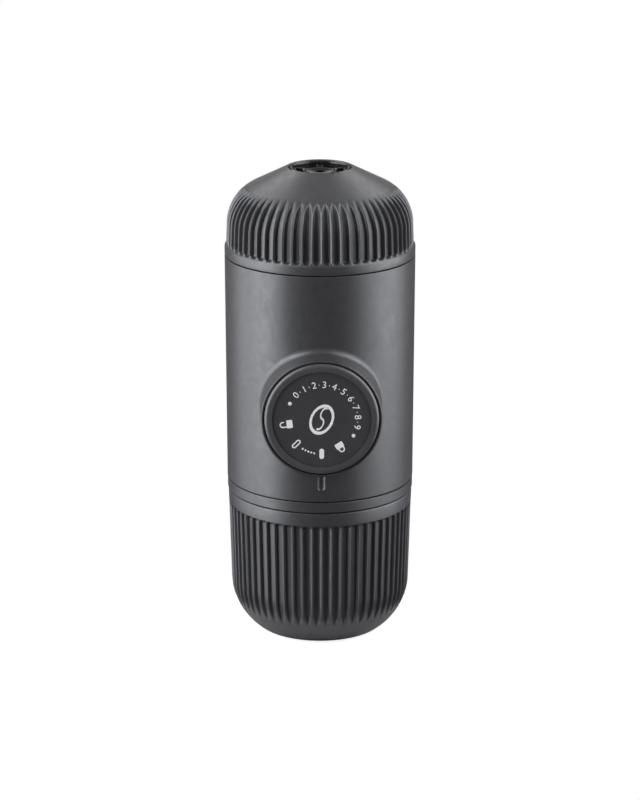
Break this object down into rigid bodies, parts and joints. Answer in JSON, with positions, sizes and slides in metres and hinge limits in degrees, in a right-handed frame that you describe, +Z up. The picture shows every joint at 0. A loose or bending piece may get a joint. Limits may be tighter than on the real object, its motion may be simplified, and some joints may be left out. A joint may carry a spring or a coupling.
{
  "type": "handheld espresso maker",
  "caption": "Handheld piston espresso maker: ribbed screw-on outlet head, body with turn-and-pump knob, screw-on water tank inside a ribbed drinking cup that is also its stand.",
  "frame": {"origin": "centre of the drinking cup's flat base, on the main axis", "axes": "+Z up along the main axis, -Y towards the pump knob, +X to the right when the knob is faced"},
  "size_m": [0.062, 0.071, 0.1557],
  "materials": {
    "charcoal_plastic": "fine matte spark grain",
    "dial_black": "smooth satin",
    "white_print": "pad print",
    "black_plastic": "polished",
    "core_plastic": "glass-filled, matte",
    "stem_plastic": "smooth natural white",
    "tank_plastic": "smoke tint, smooth",
    "stainless": "satin",
    "screw_steel": "bright",
    "spring_steel": "drawn wire",
    "silicone": "translucent grey",
    "seal_rubber": "black"
  },
  "bodies": {
    "root": {"body_shell": "charcoal_plastic", "brew_head": "core_plastic", "dispersion_plate": "stainless", "shower_screw": "screw_steel", "filter_basket": "stainless", "shell_screws": "screw_steel", "pump_block": "core_plastic", "rear_plug": "black_plastic", "plug_seal": "seal_rubber", "stem_guide": "black_plastic", "stem_seal": "seal_rubber", "lock_ring": "black_plastic", "guide_screws": "screw_steel", "return_spring": "spring_steel", "tank_socket": "core_plastic", "core_screws": "screw_steel", "inlet_strainer": "stainless", "vent_valve": "silicone", "riser_tube": "core_plastic", "riser_seal": "silicone", "inlet_valve_spring": "spring_steel", "outlet_valve_spring": "spring_steel"},
    "inlet_valve": {"inlet_valve": "stem_plastic"},
    "outlet_valve": {"outlet_valve": "stem_plastic"},
    "piston": {"piston_head": "stem_plastic", "piston_seal": "seal_rubber"},
    "knob": {"piston_stem": "stem_plastic", "stem_clip": "stainless", "knob_cap": "charcoal_plastic", "knob_screw": "screw_steel", "dial_plate": "dial_black", "dial_inlay": "white_print"},
    "head_seal": {"basket_gasket": "silicone"},
    "outlet_head": {"head_shell": "charcoal_plastic", "head_core": "black_plastic", "head_screws": "screw_steel", "outlet_screen": "stainless", "screen_ring": "black_plastic", "spout": "black_plastic", "spout_seal": "silicone"},
    "tank_seal": {"tank_seal": "silicone"},
    "water_tank": {"water_tank": "tank_plastic", "tank_collar": "charcoal_plastic", "cup_ring": "seal_rubber"},
    "drinking_cup": {"drinking_cup": "charcoal_plastic"}
  },
  "joints": [
    {"name": "piston_slide", "type": "slide", "parent": "root", "child": "piston", "axis": [0, -1, 0], "range_m": [0, 0.02], "deforming": ["return_spring"]},
    {"name": "knob_turn", "type": "hinge", "parent": "piston", "child": "knob", "pos_m": [0, -0.035, 0.08265], "axis": [0, -1, 0], "range_deg": [0, 45]},
    {"name": "head_lift", "type": "slide", "parent": "root", "child": "head_seal", "axis": [0, 0, 1], "range_m": [0, 0.00601]},
    {"name": "head_turn", "type": "hinge", "parent": "head_seal", "child": "outlet_head", "pos_m": [0, 0, 0.14], "axis": [0, 0, 1], "range_deg": [0, 720]},
    {"name": "tank_lower", "type": "slide", "parent": "root", "child": "tank_seal", "axis": [0, 0, -1], "range_m": [0, 0.00601]},
    {"name": "tank_turn", "type": "hinge", "parent": "tank_seal", "child": "water_tank", "pos_m": [0, 0, 0.05], "axis": [0, 0, -1], "range_deg": [0, 720]},
    {"name": "cup_pull", "type": "slide", "parent": "water_tank", "child": "drinking_cup", "axis": [0, 0, -1], "range_m": [0, 0.055]},
    {"name": "inlet_valve_lift", "type": "slide", "parent": "root", "child": "inlet_valve", "axis": [0, 0, 1], "range_m": [0, 0.0008], "stiffness_N_per_m": 40, "springref_m": -0.001, "deforming": ["inlet_valve_spring"]},
    {"name": "outlet_valve_lift", "type": "slide", "parent": "root", "child": "outlet_valve", "axis": [0, 0, 1], "range_m": [0, 0.0008], "stiffness_N_per_m": 40, "springref_m": -0.001, "deforming": ["outlet_valve_spring"]}
  ],
  "couplings": [
    {"joint": "head_lift", "follows": "head_turn", "m_per_rad": 0.00047746},
    {"joint": "tank_lower", "follows": "tank_turn", "m_per_rad": 0.00047746}
  ]
}
